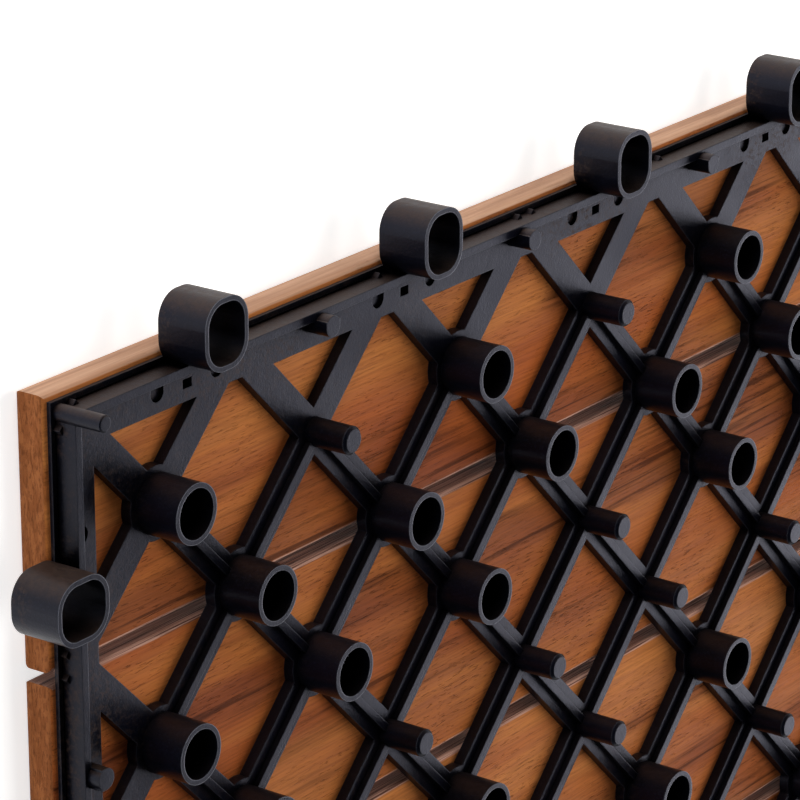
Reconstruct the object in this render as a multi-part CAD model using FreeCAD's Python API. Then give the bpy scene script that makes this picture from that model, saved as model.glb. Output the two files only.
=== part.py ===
# Interlocking deck tile: six hardwood slats screwed to one moulded plastic base.
# The tile lies deck face down, with the base upward. Units are millimetres.
# The origin is the centre of the deck face, +X runs along the slats, and +Z points to the ground side of the base.
# The two looped edges are at -X and +Y. The two pegged edges are at +X and -Y.

import FreeCAD, Part
import math
import os

# Deck
tile_side = 300.0
slat_count = 6
outer_slat_width = 46.4
slat_gap = 2.3
slat_thickness = 5.85
slat_deck_round = 1.8
slat_back_round = 0.9

# Lattice of the base, in half-pitch steps from its corner at -X, +Y
lattice_inset = 3.9
node_steps = 14
flange_thickness = 2.0
bar_width = 5.85
rib_width = 1.45
rib_height = 1.05
base_height = 10.35

# Hollow legs and solid pins that stand on the lattice nodes, listed for one quarter and mirrored
leg_diameter = 10.35
leg_wall = 0.88
boss_margin = 1.2
pin_diameter = 5.0
pin_chamfer = 0.5
pin_quarter = [(3, 1), (7, 1), (7, 3), (4, 4), (6, 4), (7, 5), (4, 6), (1, 7), (7, 7)]

# Rail round the lattice
rail_inner = 5.9
ridge_outer = 1.25
ridge_width = 1.5
ridge_height = 4.6
lip_groove = 0.38
lip_width = 0.92
lip_height = 0.75
groove_floor = 0.25

# Loops on the looped edges
loop_count = 5
loop_first_top = 33.2
loop_first_left = 32.1
loop_pitch = 59.05
loop_width = 10.95
loop_length = 12.2
loop_wall = 0.88
loop_corner = 4.6
loop_reach = 9.25

# Pockets and pegs on the pegged edges, which take the loops of the next tile
loop_clearance = 0.25
loop_room = 2.1
pad_margin = 1.0
peg_wall = 1.2
peg_short = 0.5
peg_chamfer = 0.7
tongue_thickness = 0.6
tongue_width = 6.5
foot_margin = 0.6
lip_clearance = 0.1

# Small posts on the rail, recesses and square holes beside the loops
post_offset = 32.4
post_width = 3.7
post_depth = 3.0
post_height = 6.95
corner_post_diameter = 2.85
corner_post_short = 0.25
recess_diameter = 3.2
recess_depth = 0.6
recess_offset = 7.6
recess_inset = 2.4
square_hole_along = 2.3
square_hole_across = 1.6
square_hole_inset = 2.9

# Screws, listed for one quarter and mirrored
screw_diameter = 3.0
screw_length = 6.5
screw_head_diameter = 5.6
screw_head_height = 1.6
screw_hole_clearance = 0.2
pilot_extra = 0.2
screw_quarter = [(1, 1), (5, 1), (1, 3), (5, 3), (2, 6), (6, 6)]

# Places worked out from the sizes above
half = tile_side / 2
left = -half + lattice_inset
top = half - lattice_inset
node_pitch = (tile_side - 2 * lattice_inset) / node_steps
right = -left
bottom = -top
back = slat_thickness
flange_top = back + flange_thickness
ground = back + base_height
leg_radius = leg_diameter / 2
bore_radius = leg_radius - leg_wall
inner_slat_width = (tile_side - 2 * outer_slat_width - slat_gap * (slat_count - 1)) / (slat_count - 2)
rail_outer = lip_width + lip_groove + ridge_outer
loop_offset = loop_reach - loop_length / 2
loop_first = {"top": loop_first_top, "left": loop_first_left}
mating_edge = {"bottom": "top", "right": "left"}
peg_diameter = loop_width - 2 * loop_wall - 2 * loop_clearance
pocket_half = loop_width / 2 + loop_room
pocket_depth = loop_reach + loop_room
overlap = 0.2


def vec(x, y, z):
    return FreeCAD.Vector(x, y, z)


def box(x0, x1, y0, y1, z0, z1):
    """A box between two corners, given in any order along X and Y."""
    low_x, high_x = sorted((x0, x1))
    low_y, high_y = sorted((y0, y1))
    return Part.makeBox(high_x - low_x, high_y - low_y, z1 - z0, vec(low_x, low_y, z0))


def rod(x, y, radius, z0, z1):
    return Part.makeCylinder(radius, z1 - z0, vec(x, y, z0))


def node(a, b):
    """Centre of lattice node a, b, counted in half pitches from the corner at -X, +Y."""
    return left + a * node_pitch, top - b * node_pitch


def mirrored(quarter):
    """The nodes of one quarter of the lattice and their mirror images."""
    far = node_steps
    return {place for a, b in quarter for place in ((a, b), (far - a, b), (a, far - b), (far - a, far - b))}


pins = mirrored(pin_quarter)
screws = sorted(mirrored(screw_quarter))


def strip(start, end, width, z0, z1):
    """A straight bar of the given width between two points in the plane."""
    length = math.hypot(end[0] - start[0], end[1] - start[1])
    bar = Part.makeBox(length, width, z1 - z0, vec(0, -width / 2, 0))
    bar.rotate(vec(0, 0, 0), vec(0, 0, 1), math.degrees(math.atan2(end[1] - start[1], end[0] - start[0])))
    bar.translate(vec(start[0], start[1], z0))
    return bar


def rounded_block(cx, cy, size_x, size_y, corner, z0, z1):
    """A block with four rounded upright edges."""
    block = box(cx - size_x / 2, cx + size_x / 2, cy - size_y / 2, cy + size_y / 2, z0, z1)
    upright = [e for e in block.Edges if abs(e.tangentAt(e.FirstParameter).z) > 0.5]
    return block.makeFillet(min(corner, size_x / 2.02, size_y / 2.02), upright)


def interior_nodes():
    steps = range(1, node_steps)
    return [(a, b) for a in steps for b in steps if (a + b) % 2 == 0]


def diagonal_runs(low, high):
    """Ends of every diagonal line of nodes whose steps lie between low and high."""
    runs = []
    for difference in range(low - high, high - low + 1):
        if difference % 2 == 0:
            first = max(low, low + difference)
            last = min(high, high + difference)
            runs.append(((first, first - difference), (last, last - difference)))
    for total in range(2 * low, 2 * high + 1):
        if total % 2 == 0:
            first = max(low, total - high)
            last = min(high, total - low)
            runs.append(((first, total - first), (last, total - last)))
    return [run for run in runs if run[0] != run[1]]


def loop_places(edge):
    """Distances of an edge's loops, or of its pegs, from the corner on the -X or +Y side."""
    first = loop_first[mating_edge.get(edge, edge)]
    return [first + i * loop_pitch for i in range(loop_count)]


def edge_point(edge, along, out):
    """A point at a distance along an edge from the -X or +Y side, and out past the deck."""
    points = {
        "top": (-half + along, half + out),
        "left": (-half - out, half - along),
        "bottom": (-half + along, -half - out),
        "right": (half + out, half - along),
    }
    return points[edge]


def edge_block(edge, along0, along1, out0, out1, z0, z1):
    """A box given by its distances along an edge and out past the deck."""
    x0, y0 = edge_point(edge, along0, out0)
    x1, y1 = edge_point(edge, along1, out1)
    return box(x0, x1, y0, y1, z0, z1)


def square_ring(outer, inner, z0, z1):
    """A square ring between two distances out from the lattice's outline, negative ones inside it."""
    body = box(left - outer, right + outer, bottom - outer, top + outer, z0, z1)
    return body.cut(box(left - inner, right + inner, bottom - inner, top + inner, z0, z1))


def rail():
    """Flat flange, upright ridge, and the low lip beyond a shallow groove, on all four sides."""
    flange = square_ring(ridge_outer, -rail_inner, back, flange_top)
    ridge = square_ring(ridge_outer, ridge_outer - ridge_width, back, back + ridge_height)
    groove = square_ring(rail_outer, ridge_outer, back, back + groove_floor)
    lip = square_ring(rail_outer, rail_outer - lip_width, back, back + lip_height)
    return [flange, ridge, groove, lip]


def lattice_bars():
    """Flat bars along both diagonals, with a narrow rib on the runs between inner nodes."""
    parts = []
    for first, last in diagonal_runs(0, node_steps):
        parts.append(strip(node(*first), node(*last), bar_width, back, flange_top))
    for first, last in diagonal_runs(1, node_steps - 1):
        parts.append(strip(node(*first), node(*last), rib_width, back, flange_top + rib_height))
    return parts


def leg(a, b):
    """A round leg on its boss, before it is bored."""
    x, y = node(a, b)
    boss = rod(x, y, leg_radius + boss_margin, back, flange_top)
    return boss.fuse(rod(x, y, leg_radius, back, ground))


def pin(x, y, radius, chamfer, z1):
    """A solid round pin with a bevelled tip."""
    shank = rod(x, y, radius, back, z1 - chamfer)
    tip = Part.makeCone(radius, radius - chamfer, chamfer, vec(x, y, z1 - chamfer))
    return shank.fuse(tip)


def loop(edge, along):
    """A closed loop that stands past the deck's edge, joined to the ridge."""
    cx, cy = edge_point(edge, along, loop_offset)
    size_x, size_y = (loop_width, loop_length) if edge == "top" else (loop_length, loop_width)
    low = back + lip_height
    inset = 2 * loop_wall
    body = rounded_block(cx, cy, size_x, size_y, loop_corner, low, ground)
    hole = rounded_block(cx, cy, size_x - inset, size_y - inset, loop_corner - loop_wall, low, ground)
    return body.cut(hole)


def pocket(edge, along, margin, outside, z1):
    """The room for a neighbour's loop, open to the outside, made larger by a margin on its three sides."""
    reach = pocket_half + margin
    return edge_block(edge, along - reach, along + reach, -pocket_depth - margin, outside, back, z1)


def pocket_wall(edge, along):
    """The flange pad and the upright wall that carry the ridge round a pocket, before it is opened."""
    ridge_face = ridge_outer - lattice_inset
    pad = pocket(edge, along, ridge_width + pad_margin, ridge_face, flange_top)
    return pad.fuse(pocket(edge, along, ridge_width, ridge_face, back + ridge_height))


def peg(edge, along):
    """A hollow peg that fits a neighbour's loop, with its foot on a thin tongue that passes under that loop."""
    x, y = edge_point(edge, along, -loop_offset)
    radius = peg_diameter / 2
    tongue_top = back + tongue_thickness
    half_width = tongue_width / 2
    inner = -pocket_depth - overlap
    body = pin(x, y, radius, peg_chamfer, ground - peg_short)
    lip_line = lattice_inset - rail_outer - lip_clearance
    room = edge_block(edge, along - pocket_half, along + pocket_half, inner, lip_line, back, tongue_top)
    foot = rod(x, y, radius + foot_margin, back, tongue_top).common(room)
    tongue = edge_block(edge, along - half_width, along + half_width, inner, -loop_offset, back, tongue_top)
    bore = rod(x, y, radius - peg_wall, tongue_top, ground)
    return body.fuse(foot).fuse(tongue).cut(bore)


def post(edge, along):
    """A short post with a rounded front, standing on the inner side of the ridge."""
    outside = -lattice_inset - (ridge_width - ridge_outer) + overlap
    inside = outside - post_depth + post_width / 2
    high = back + post_height
    block = edge_block(edge, along - post_width / 2, along + post_width / 2, outside, inside, back, high)
    x, y = edge_point(edge, along, inside)
    return block.fuse(rod(x, y, post_width / 2, back, high))


def edge_holes(edge, along):
    """The square hole and the two round-ended recesses beside a loop, to be cut from the flange."""
    reach_along = square_hole_along / 2
    reach_across = square_hole_across / 2
    hole_out = -lattice_inset - square_hole_inset
    cuts = [
        edge_block(
            edge, along - reach_along, along + reach_along,
            hole_out - reach_across, hole_out + reach_across, back, flange_top,
        )
    ]
    floor = flange_top - recess_depth
    ridge_line = -lattice_inset - (ridge_width - ridge_outer)
    radius = recess_diameter / 2
    for side in (-1, 1):
        place = along + side * recess_offset
        x, y = edge_point(edge, place, -lattice_inset - recess_inset)
        cuts.append(rod(x, y, radius, floor, flange_top))
        depth = -lattice_inset - recess_inset
        cuts.append(edge_block(edge, place - radius, place + radius, depth, ridge_line, floor, flange_top))
    return cuts


def make_base():
    """The whole moulded base as one solid."""
    parts = rail() + lattice_bars()
    for a, b in interior_nodes():
        if (a, b) in pins:
            parts.append(pin(*node(a, b), pin_diameter / 2, pin_chamfer, ground))
        else:
            parts.append(leg(a, b))
    for edge in ("top", "left"):
        parts += [loop(edge, along) for along in loop_places(edge)]
        parts += [post(edge, along + post_offset) for along in loop_places(edge)[:-1]]
    pockets = []
    pegs = []
    for edge in ("bottom", "right"):
        for along in loop_places(edge):
            parts.append(pocket_wall(edge, along))
            pockets.append(pocket(edge, along, 0, overlap, ground))
            pegs.append(peg(edge, along))
    corner_x = left - ridge_outer + ridge_width / 2
    corner_y = top + ridge_outer - ridge_width / 2
    parts.append(pin(corner_x, corner_y, corner_post_diameter / 2, pin_chamfer / 2, ground - corner_post_short))
    base = parts[0].multiFuse(parts[1:]).cut(Part.makeCompound(pockets)).multiFuse(pegs)

    cuts = []
    for a, b in interior_nodes():
        x, y = node(a, b)
        if (a, b) not in pins:
            cuts.append(rod(x, y, bore_radius, flange_top, ground))
        if (a, b) in screws:
            cuts.append(rod(x, y, screw_diameter / 2 + screw_hole_clearance, back, flange_top))
    for edge in ("top", "left"):
        for along in loop_places(edge):
            cuts += edge_holes(edge, along)
    return base.cut(Part.makeCompound(cuts)).removeSplitter()


def slat_span(index):
    """The low and high Y of one slat, counted from the +Y edge."""
    if index == 0:
        return half - outer_slat_width, half
    if index == slat_count - 1:
        return -half, -half + outer_slat_width
    high = half - outer_slat_width - slat_gap - (index - 1) * (inner_slat_width + slat_gap)
    return high - inner_slat_width, high


def make_slat(index):
    """One slat with rounded deck edges, softened back edges and blind pilot holes."""
    low, high = slat_span(index)
    slat = box(-half, half, low, high, 0, slat_thickness)
    deck_edges = [e for e in slat.Edges if e.BoundBox.ZMax < slat_thickness / 2]
    slat = slat.makeFillet(slat_deck_round, deck_edges)
    back_edges = [e for e in slat.Edges if e.BoundBox.ZMin > slat_thickness - slat_back_round / 2]
    slat = slat.makeFillet(slat_back_round, back_edges)
    depth = screw_length - flange_thickness + pilot_extra
    for a, b in screws:
        x, y = node(a, b)
        if low < y < high:
            slat = slat.cut(rod(x, y, screw_diameter / 2, back - depth, back))
    return slat


def make_screw(a, b):
    """A pan-head wood screw that holds the base to a slat, seated on the floor of a leg."""
    x, y = node(a, b)
    shank = rod(x, y, screw_diameter / 2, flange_top - screw_length, flange_top)
    head = rod(x, y, screw_head_diameter / 2, flange_top, flange_top + screw_head_height)
    return shank.fuse(head)


def save(shape, name):
    shape.exportStep(os.path.join("parts", name + ".step"))


def main():
    os.makedirs("parts", exist_ok=True)
    save(make_base(), "base")
    for index in range(slat_count):
        save(make_slat(index), "slat_" + str(index + 1))
    save(Part.makeCompound([make_screw(a, b) for a, b in screws]), "screws")


main()
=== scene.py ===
"""Studio picture of an interlocking deck tile.

The tile lies deck face down: hardwood slats under a black moulded base.
"""

import bpy
from mathutils import Matrix, Vector

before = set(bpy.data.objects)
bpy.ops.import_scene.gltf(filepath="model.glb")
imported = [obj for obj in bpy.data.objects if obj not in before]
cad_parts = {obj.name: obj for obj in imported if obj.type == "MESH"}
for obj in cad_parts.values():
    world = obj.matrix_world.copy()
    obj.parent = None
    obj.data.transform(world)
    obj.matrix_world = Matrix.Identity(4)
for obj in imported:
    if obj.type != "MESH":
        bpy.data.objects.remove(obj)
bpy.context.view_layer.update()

# Camera, worked out from the lattice of legs in the photograph
CAMERA_PLACE = Vector((-0.60333, 0.36232, 0.40493))
VIEW_DIRECTION = Vector((0.76154, -0.33379, -0.55555))
PICTURE_UP = Vector((0.27019, 0.94265, -0.19599))
LENS_MM = 186.83
SENSOR_MM = 36.0
CLIP_NEAR = 0.01
CLIP_FAR = 20

# The deck's half side, and where sapwood begins and ends across the first board
DECK_HALF = 0.15
SAPWOOD_STARTS = 0.112
SAPWOOD_FULL = 0.140

# Plastic: the shaded round of its edges, the width of the painted highlight on its edges, and how far
# the painted shade in cavities reaches
EDGE_ROUND = 0.00028
EDGE_HIGHLIGHT_WIDTH = 0.00020
PAINTED_SHADE_REACH = 0.014
PLASTIC_GLOSS = 0.20

# Heights above the floor: flange, top of the low dust, and the rims of the legs, where the painted
# edge highlight grows to full
FLANGE_TOP = 0.00785
LOW_DUST_END = 0.0115
RIM_STARTS = 0.0125
RIM_FULL = 0.0145

# Distance from the middle of the tile at which the rail's dust begins and is full
DUST_STARTS = 0.132
DUST_FULL = 0.142

FLOOR_HALF = 4.0
FLOOR_WHITE = (0.86, 0.86, 0.86, 1)
FLOOR_GLOW = 0.62
FLOOR_MIRRORED = 0.95

# The world is white to the camera and gives little light. In reflections it darkens with height.
WORLD_LIGHT = 0.13
WORLD_OVERHEAD = 0.05
CEILING_STARTS = 0.10
CEILING_FULL = 0.45

# Lamps: place, side in metres, watts, colour, and whether they light surfaces and show in their gloss
LAMPS = {
    "key": ((2.10, -0.42, 1.82), 3.08, 113.0, (1.0, 0.95, 0.90), True, False),
    "top": ((-0.30, 1.50, 0.25), 0.8, 14.0, (1, 1, 1), True, False),
    "left": ((-1.60, 0.20, 0.20), 0.8, 12.0, (1, 1, 1), True, False),
    "card": ((1.72, -0.63, 0.74), 1.0, 10.0, (0.90, 0.89, 1.0), False, True),
}


def linear(red, green, blue):
    """An 8-bit sRGB colour as linear red, green, blue and alpha."""
    def channel(value):
        share = value / 255
        return share / 12.92 if share <= 0.04045 else ((share + 0.055) / 1.055) ** 2.4
    return (channel(red), channel(green), channel(blue), 1.0)


PALE_TINT = linear(216, 164, 112)
RED_TINT = linear(134, 61, 26)

# Boards: offset into the figure, tone, tint, and the tint's share inside and along the outer edge
BOARDS = {
    "slat_1": ((0.00, 0.00, 0.00), 0.97, PALE_TINT, 0.05, 0.12),
    "slat_2": ((1.37, 0.21, 0.05), 0.95, PALE_TINT, 0.08, 0.08),
    "slat_3": ((2.71, 0.43, 0.11), 1.02, PALE_TINT, 0.14, 0.14),
    "slat_4": ((4.19, 0.65, 0.17), 0.98, RED_TINT, 0.20, 0.20),
    "slat_5": ((5.53, 0.87, 0.23), 1.02, RED_TINT, 0.05, 0.05),
    "slat_6": ((6.91, 1.09, 0.29), 0.99, RED_TINT, 0.15, 0.15),
}


class Graph:
    """Short calls for building the nodes of one material or of the world."""

    def __init__(self, owner, output="ShaderNodeOutputMaterial"):
        self.owner = owner
        owner.use_nodes = True
        self.tree = owner.node_tree
        self.tree.nodes.clear()
        self.output = self.node(output)

    def node(self, kind, **settings):
        made = self.tree.nodes.new(kind)
        for key, value in settings.items():
            setattr(made, key, value)
        return made

    def put(self, value, socket):
        """Links a socket, or sets a plain value."""
        if isinstance(value, bpy.types.NodeSocket):
            self.tree.links.new(value, socket)
        else:
            socket.default_value = value

    def show(self, shader):
        """Makes a shader the result, and gives back the material or world."""
        self.put(shader, self.output.inputs["Surface"])
        return self.owner

    def split(self, vector):
        """The x, y and z of a vector."""
        made = self.node("ShaderNodeSeparateXYZ")
        self.put(vector, made.inputs[0])
        return made.outputs

    def math(self, operation, first, second=None):
        made = self.node("ShaderNodeMath", operation=operation)
        self.put(first, made.inputs[0])
        if second is not None:
            self.put(second, made.inputs[1])
        return made.outputs[0]

    def mix(self, factor, first, second, blend="MIX"):
        made = self.node("ShaderNodeMix", data_type="RGBA", blend_type=blend)
        self.put(factor, made.inputs[0])
        self.put(first, made.inputs[6])
        self.put(second, made.inputs[7])
        return made.outputs[2]

    def ramp(self, value, low, high, to_low=0.0, to_high=1.0, smooth=True):
        """A value taken from one range to another."""
        steps = "SMOOTHSTEP" if smooth else "LINEAR"
        made = self.node("ShaderNodeMapRange", interpolation_type=steps)
        self.put(value, made.inputs["Value"])
        limits = {"From Min": low, "From Max": high, "To Min": to_low, "To Max": to_high}
        for key, number in limits.items():
            self.put(number, made.inputs[key])
        return made.outputs[0]

    def noise(self, scale, offset=(0, 0, 0), detail=3.0, roughness=0.55, distortion=0.0):
        """Noise in object space. scale is per metre on each axis, and offset moves it."""
        made = self.node("ShaderNodeTexNoise")
        self.put(self.place(scale, offset), made.inputs["Vector"])
        self.put(1.0, made.inputs["Scale"])
        figures = {"Detail": detail, "Roughness": roughness, "Distortion": distortion}
        for key, number in figures.items():
            self.put(number, made.inputs[key])
        return made.outputs["Fac"]

    def place(self, scale, offset=(0, 0, 0)):
        """Object coordinates in metres, moved and then stretched."""
        coords = self.node("ShaderNodeTexCoord")
        moved = self.node("ShaderNodeVectorMath", operation="ADD")
        self.put(coords.outputs["Object"], moved.inputs[0])
        self.put(offset, moved.inputs[1])
        scaled = self.node("ShaderNodeVectorMath", operation="MULTIPLY")
        self.put(moved.outputs[0], scaled.inputs[0])
        self.put(scale, scaled.inputs[1])
        return scaled.outputs[0]

    def bump(self, height, distance, strength, below=None):
        made = self.node("ShaderNodeBump")
        self.put(strength, made.inputs["Strength"])
        self.put(distance, made.inputs["Distance"])
        self.put(height, made.inputs["Height"])
        if below is not None:
            self.put(below, made.inputs["Normal"])
        return made.outputs[0]

    def surface(self, color, roughness, normal, **others):
        """A principled surface. Names in others use _ for a space."""
        made = self.node("ShaderNodeBsdfPrincipled")
        self.put(color, made.inputs["Base Color"])
        self.put(roughness, made.inputs["Roughness"])
        self.put(normal, made.inputs["Normal"])
        for key, value in others.items():
            self.put(value, made.inputs[key.replace("_", " ")])
        return self.show(made.outputs[0])


def make_wood(name, offset, tone, tint, inner_share, outer_share):
    """Oiled hardwood with its grain along X, with end grain and sawn or planed sides.

    The offset picks the board, and the tone lightens it. The tint's share may change across
    the board, as sapwood does along one edge.
    """
    g = Graph(bpy.data.materials.new(name))
    position = g.split(g.place((1, 1, 1)))
    facing = g.split(g.node("ShaderNodeNewGeometry").outputs["Normal"])

    broad = g.noise((5, 48, 34), offset, distortion=0.5)
    patches = g.noise((24, 70, 60), offset, detail=2)
    zones = g.noise((9, 60, 50), offset, detail=2, distortion=0.4)
    lines = g.noise((16, 640, 520), offset, detail=4, roughness=0.65, distortion=0.25)
    fiber = g.noise((70, 2400, 2200), offset, roughness=0.65)
    pores = g.noise((420, 4200, 4000), offset, detail=1.5, roughness=0.5)

    red = linear(134, 61, 26)
    dark = linear(58, 28, 15)

    # Broad figure, from orange-brown to red
    color = g.mix(g.ramp(broad, 0.36, 0.62), linear(168, 84, 34), linear(192, 117, 57))
    color = g.mix(g.ramp(patches, 0.42, 0.72, 0, 0.55), color, red)
    tint_share = g.ramp(position[1], SAPWOOD_STARTS, SAPWOOD_FULL, inner_share, outer_share)
    color = g.mix(tint_share, color, tint)

    # Growth lines, dark streaks, fibres and open pores
    color = g.mix(g.ramp(lines, 0.36, 0.64, 0.22, 0.0), color, red)
    color = g.mix(g.ramp(zones, 0.50, 0.64, 0.0, 0.55), color, linear(112, 54, 30))
    streak = g.math("MULTIPLY", g.ramp(lines, 0.48, 0.63), g.ramp(zones, 0.50, 0.62))
    color = g.mix(g.math("MULTIPLY", streak, 0.75), color, dark)
    color = g.mix(g.ramp(fiber, 0.34, 0.62, 0.26, 0.0), color, dark)
    pore_mask = g.math("MULTIPLY", g.ramp(pores, 0.61, 0.68), g.ramp(patches, 0.36, 0.62, 0.30, 1.0))
    color = g.mix(g.math("MULTIPLY", pore_mask, 0.50), color, linear(46, 23, 13))

    # End grain on the faces across the board
    end_face = g.ramp(g.math("ABSOLUTE", facing[0]), 0.55, 0.80)
    end_speck = g.noise((500, 560, 3000), offset, roughness=0.7)
    end_rings = g.noise((60, 240, 700), offset, distortion=0.8)
    end_color = g.mix(g.ramp(end_rings, 0.40, 0.62), linear(146, 87, 50), linear(168, 104, 62))
    end_color = g.mix(g.ramp(end_speck, 0.48, 0.64, 0, 0.55), end_color, linear(84, 44, 24))
    color = g.mix(end_face, color, end_color)

    # Rough-sawn sides in the gaps, and planed, paler sides round the tile
    side_face = g.ramp(g.math("ABSOLUTE", facing[1]), 0.15, 0.45)
    sawn = g.noise((24, 2600, 3000), offset, roughness=0.7)
    side_color = g.mix(g.ramp(sawn, 0.38, 0.50), linear(158, 112, 94), linear(206, 162, 144))
    side_color = g.mix(g.ramp(sawn, 0.50, 0.60, 0, 0.90), side_color, linear(80, 46, 36))
    planed_color = g.mix(g.ramp(lines, 0.36, 0.64), linear(178, 134, 106), linear(208, 165, 136))
    planed = g.ramp(g.math("ABSOLUTE", position[1]), DECK_HALF - 0.002, DECK_HALF - 0.001)
    side_color = g.mix(planed, side_color, planed_color)
    color = g.mix(side_face, color, side_color)
    toned = g.mix(1.0, color, (tone, tone, tone, 1), blend="MULTIPLY")

    # Relief of fibres, pores, saw marks and end grain
    rough_sawn = g.math("MULTIPLY", side_face, g.math("SUBTRACT", 1.0, planed))
    saw_marks = g.math("MULTIPLY", g.math("MULTIPLY", sawn, rough_sawn), 2.5)
    end_pits = g.math("MULTIPLY", g.math("MULTIPLY", end_speck, end_face), 1.5)
    relief = g.math("SUBTRACT", g.math("MULTIPLY", fiber, 0.35), pore_mask)
    relief = g.math("SUBTRACT", g.math("ADD", relief, saw_marks), end_pits)
    normal = g.bump(relief, 0.00012, 0.7)
    roughness = g.ramp(lines, 0.3, 0.7, 0.50, 0.64, smooth=False)
    return g.surface(toned, roughness, normal, Specular_IOR_Level=0.05)


def make_plastic(name):
    """Black moulded plastic: a fine matt skin with a painted highlight on its edges, painted shade in
    its cavities and wood dust.

    The brown dust lies on the rail and on the sides that face +Y.
    """
    g = Graph(bpy.data.materials.new(name))
    position = g.split(g.place((1, 1, 1)))
    facing = g.split(g.node("ShaderNodeNewGeometry").outputs["Normal"])

    grain = g.noise((2600, 2600, 2600), roughness=0.6)
    coarse = g.noise((420, 420, 420), detail=2)
    flow = g.noise((45, 45, 45), detail=4, roughness=0.6, distortion=0.8)
    dust_speck = g.noise((900, 900, 900), detail=4, roughness=0.75)
    dust_area = g.noise((34, 34, 34), detail=2)

    # Dust: specks low down, and a film on the sides that face +Y
    from_middle = g.math("MAXIMUM", g.math("ABSOLUTE", position[0]), g.math("ABSOLUTE", position[1]))
    by_rail = g.ramp(from_middle, DUST_STARTS, DUST_FULL, 0.30, 1.0)
    low_down = g.ramp(position[2], FLANGE_TOP, LOW_DUST_END, 1.0, 0.0)
    specks = g.math("MULTIPLY", g.ramp(dust_speck, 0.44, 0.70), g.ramp(dust_area, 0.40, 0.62))
    specks = g.math("MULTIPLY", specks, low_down)
    film = g.math("MULTIPLY", g.ramp(facing[1], 0.30, 0.95), g.ramp(dust_speck, 0.30, 0.70, 0.4, 0.9))
    dust = g.math("MULTIPLY", g.math("MAXIMUM", specks, film), by_rail)

    color = g.mix(g.ramp(flow, 0.35, 0.65), linear(4, 5, 10), linear(8, 9, 18))
    color = g.mix(g.ramp(grain, 0.50, 0.70, 0.0, 0.35), color, linear(25, 28, 42))
    color = g.mix(g.math("MULTIPLY", dust, 0.62), color, linear(72, 56, 46))

    # Painted highlight: convex edges are lightened, most of all on the rims of the legs
    edges = g.node("ShaderNodeAmbientOcclusion", inside=True, only_local=True, samples=6)
    g.put(EDGE_HIGHLIGHT_WIDTH, edges.inputs["Distance"])
    rim_highlight_share = g.ramp(position[2], RIM_STARTS, RIM_FULL, 0.12, 1.0)
    painted_edge_highlight = g.math("MULTIPLY", g.ramp(edges.outputs["AO"], 0.92, 0.45), rim_highlight_share)
    color = g.mix(g.math("MULTIPLY", painted_edge_highlight, 0.85), color, linear(112, 115, 126))

    # Painted shade: cavities are darkened towards black and lose their gloss
    cavity_shade_ao = g.node("ShaderNodeAmbientOcclusion", only_local=True, samples=5)
    g.put(PAINTED_SHADE_REACH, cavity_shade_ao.inputs["Distance"])
    unshaded_share = g.ramp(cavity_shade_ao.outputs["AO"], 0.35, 0.80)
    color = g.mix(unshaded_share, linear(2, 2, 3), color)
    gloss = g.math("MULTIPLY", unshaded_share, PLASTIC_GLOSS)

    soft_edges = g.node("ShaderNodeBevel", samples=4)
    g.put(EDGE_ROUND, soft_edges.inputs["Radius"])
    skin = g.bump(coarse, 0.00006, 0.5, below=soft_edges.outputs[0])
    normal = g.bump(grain, 0.00005, 0.7, below=skin)
    smoothness = g.ramp(flow, 0.3, 0.7, 0.30, 0.38, smooth=False)
    roughness = g.math("ADD", smoothness, g.math("MULTIPLY", dust, 0.3))
    tint = (0.74, 0.77, 1.0, 1)
    return g.surface(color, roughness, normal, Specular_IOR_Level=gloss, Specular_Tint=tint)


def make_steel(name):
    """Plain plated screws."""
    g = Graph(bpy.data.materials.new(name))
    wear = g.noise((900, 900, 900))
    color = g.mix(g.ramp(wear, 0.35, 0.65), linear(150, 150, 152), linear(190, 190, 188))
    roughness = g.ramp(wear, 0.3, 0.7, 0.28, 0.42, smooth=False)
    return g.surface(color, roughness, g.bump(wear, 0.00002, 0.5), Metallic=1.0)


def dress(node_name, material):
    """Gives a CAD node its finish."""
    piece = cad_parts[node_name]
    piece.data.materials.clear()
    piece.data.materials.append(material)


def make_floor():
    """A plain white floor that reads as white to the camera and keeps a soft shadow."""
    corners = [(x * FLOOR_HALF, y * FLOOR_HALF, 0) for x, y in ((-1, -1), (1, -1), (1, 1), (-1, 1))]
    mesh = bpy.data.meshes.new("floor")
    mesh.from_pydata(corners, [], [(0, 1, 2, 3)])
    floor = bpy.data.objects.new("floor", mesh)
    bpy.context.scene.collection.objects.link(floor)

    g = Graph(bpy.data.materials.new("floor_white"))
    diffuse = g.node("ShaderNodeBsdfDiffuse")
    g.put(FLOOR_WHITE, diffuse.inputs["Color"])
    path = g.node("ShaderNodeLightPath").outputs
    mirrored = g.math("MAXIMUM", path["Is Glossy Ray"], path["Is Transmission Ray"])
    direct = g.math("MULTIPLY", path["Is Camera Ray"], FLOOR_GLOW)
    strength = g.math("MAXIMUM", direct, g.math("MULTIPLY", mirrored, FLOOR_MIRRORED))
    glow = g.node("ShaderNodeEmission")
    g.put(strength, glow.inputs["Strength"])
    both = g.node("ShaderNodeAddShader")
    g.put(diffuse.outputs[0], both.inputs[0])
    g.put(glow.outputs[0], both.inputs[1])
    mesh.materials.append(g.show(both.outputs[0]))


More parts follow.
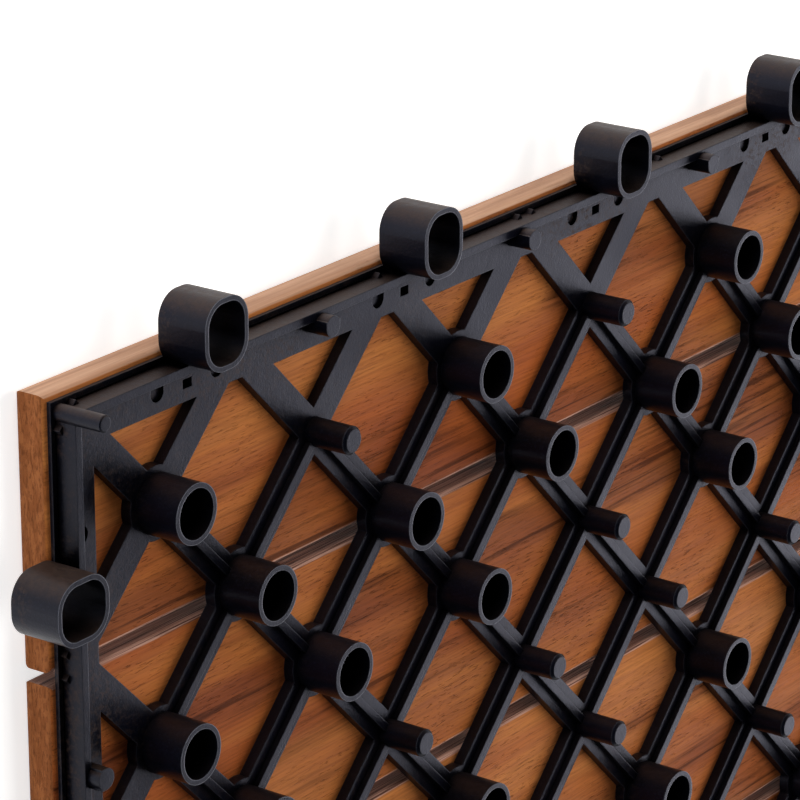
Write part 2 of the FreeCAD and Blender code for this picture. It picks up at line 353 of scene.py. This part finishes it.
def make_world():
    """A white studio with a dark ceiling.

    The camera sees it as white, and it gives little light of its own.
    """
    world = bpy.data.worlds.new("studio")
    bpy.context.scene.world = world
    g = Graph(world, "ShaderNodeOutputWorld")
    height = g.split(g.node("ShaderNodeTexCoord").outputs["Generated"])[2]
    brightness = g.ramp(height, CEILING_STARTS, CEILING_FULL, 1.0, WORLD_OVERHEAD)
    path = g.node("ShaderNodeLightPath").outputs
    mirrored = g.math("MAXIMUM", path["Is Glossy Ray"], path["Is Transmission Ray"])
    strength = g.math("MAXIMUM", path["Is Camera Ray"], g.math("MULTIPLY", mirrored, brightness))
    strength = g.math("MAXIMUM", strength, g.math("MULTIPLY", path["Is Diffuse Ray"], WORLD_LIGHT))
    background = g.node("ShaderNodeBackground")
    g.put((1, 1, 1, 1), background.inputs["Color"])
    g.put(strength, background.inputs["Strength"])
    g.show(background.outputs[0])


def make_lamp(name, place, size, watts, color, lights, reflected):
    """A square soft lamp that points at the tile. It lights surfaces, or shows in their gloss."""
    data = bpy.data.lights.new(name, "AREA")
    data.shape = "SQUARE"
    data.size = size
    data.energy = watts
    data.color = color
    lamp = bpy.data.objects.new(name, data)
    lamp.location = place
    lamp.rotation_mode = "QUATERNION"
    lamp.rotation_quaternion = (-Vector(place)).to_track_quat("-Z", "Y")
    lamp.visible_diffuse = lights
    lamp.visible_glossy = reflected
    bpy.context.scene.collection.objects.link(lamp)


def make_camera():
    """The photograph's camera, kept in its place relative to the tile."""
    data = bpy.data.cameras.new("camera")
    data.lens = LENS_MM
    data.sensor_width = SENSOR_MM
    data.clip_start = CLIP_NEAR
    data.clip_end = CLIP_FAR
    camera = bpy.data.objects.new("camera", data)
    bpy.context.scene.collection.objects.link(camera)
    forward = VIEW_DIRECTION.normalized()
    right = forward.cross(PICTURE_UP).normalized()
    up = right.cross(forward)
    turn = Matrix((right, up, -forward)).transposed()
    camera.matrix_world = Matrix.Translation(CAMERA_PLACE) @ turn.to_4x4()
    bpy.context.scene.camera = camera


for slat, board in BOARDS.items():
    dress(slat, make_wood("wood_" + slat, *board))
dress("base", make_plastic("black_plastic"))
dress("screws", make_steel("plated_steel"))

make_floor()
make_world()
for lamp_name, lamp_values in LAMPS.items():
    make_lamp(lamp_name, *lamp_values)
make_camera()

bpy.context.scene.view_settings.view_transform = "Standard"
